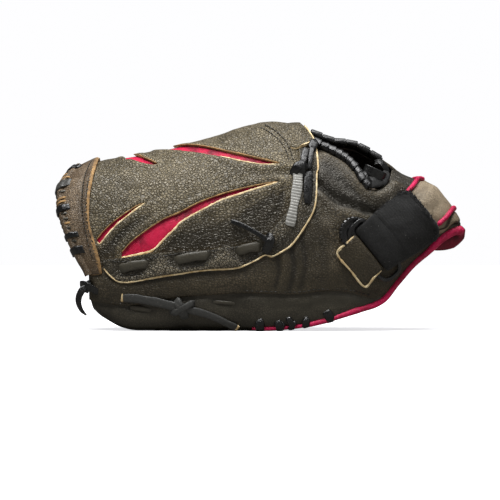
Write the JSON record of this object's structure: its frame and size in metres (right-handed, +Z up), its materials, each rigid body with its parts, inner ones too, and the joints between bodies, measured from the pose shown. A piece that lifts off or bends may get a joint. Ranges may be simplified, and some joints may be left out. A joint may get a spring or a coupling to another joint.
{
  "type": "baseball glove",
  "caption": "Leather fielding glove folded shut and standing on its mouth edge, with a slotted two-colour web, laced rims, piped wrist edge and a hook-and-loop wrist strap.",
  "frame": {"origin": "on the ground under the middle of the glove's box", "axes": "+X towards the wrist, -Y towards the thumb side, +Z up towards the fold"},
  "size_m": [0.2822, 0.1016, 0.1481],
  "materials": {
    "leather": "pebbled, semi-matte, worn lighter on high spots",
    "smooth_leather": "smooth, darkened",
    "palm_leather": "smooth, broken in",
    "brown_leather": "worn matte",
    "inlay": "satin",
    "piping": "satin",
    "lace": "waxed, glossy",
    "felt": "pressed felt",
    "lining": "soft matte",
    "hook_and_loop": "fuzzy loop pile",
    "ring": "glossy moulded"
  },
  "bodies": {
    "finger_half": {"web_fingers_panel": "leather", "web_fingers_inlay": "inlay", "web_cap_fingers": "brown_leather", "web_flap_fingers": "leather", "palm_fingers": "palm_leather", "heel_pad_fingers": "felt", "index_stall": "leather", "middle_stall": "leather", "ring_stall": "leather", "little_stall": "leather", "back_of_hand": "leather", "hand_lining_fingers": "lining", "web_finger_lace": "lace", "finger_tip_lace": "lace", "finger_lace": "lace", "heel_lace_fingers": "lace", "rim_lace_hand": "lace", "wrist_piping_fingers": "piping", "wrist_band_fingers": "brown_leather", "band_piping_front_fingers": "piping", "band_piping_back_fingers": "piping"},
    "thumb_half": {"web_thumb_panel": "leather", "web_thumb_inlay": "inlay", "web_cap_thumb": "brown_leather", "web_flap_thumb": "leather", "thumb_back": "leather", "thumb_edge_panel": "smooth_leather", "thumb_heel_leather": "leather", "hand_lining_thumb": "lining", "palm_thumb": "palm_leather", "heel_pad_thumb": "felt", "web_thumb_lace": "lace", "web_side_tail": "lace", "web_base_lace": "lace", "thumb_tail_lace": "lace", "corner_lace": "lace", "heel_lace_thumb": "lace", "rim_lace_thumb": "lace", "rim_knot": "lace", "wrist_piping_thumb": "piping", "wrist_band_thumb": "brown_leather", "band_piping_front_thumb": "piping", "band_piping_back_thumb": "piping", "hook_strap": "hook_and_loop", "ring_tab": "leather"},
    "strap_flap": {"strap_flap": "hook_and_loop"},
    "ring": {"strap_ring": "ring"}
  },
  "joints": [
    {"name": "pocket_hinge", "type": "hinge", "parent": "finger_half", "child": "thumb_half", "pos_m": [0.0025, 0.0036, 0.152], "axis": [-1, 0, 0], "range_deg": [0, 45], "stiffness_Nm_per_rad": 1.5},
    {"name": "strap_peel", "type": "hinge", "parent": "thumb_half", "child": "strap_flap", "pos_m": [0.09, -0.0409, 0.0676], "axis": [0.615, 0.195, -0.764], "range_deg": [0, 100]},
    {"name": "ring_swivel", "type": "hinge", "parent": "thumb_half", "child": "ring", "pos_m": [0.0784, -0.0414, 0.0563], "axis": [0.6286, 0.2039, -0.7505], "range_deg": [0, 35]}
  ]
}
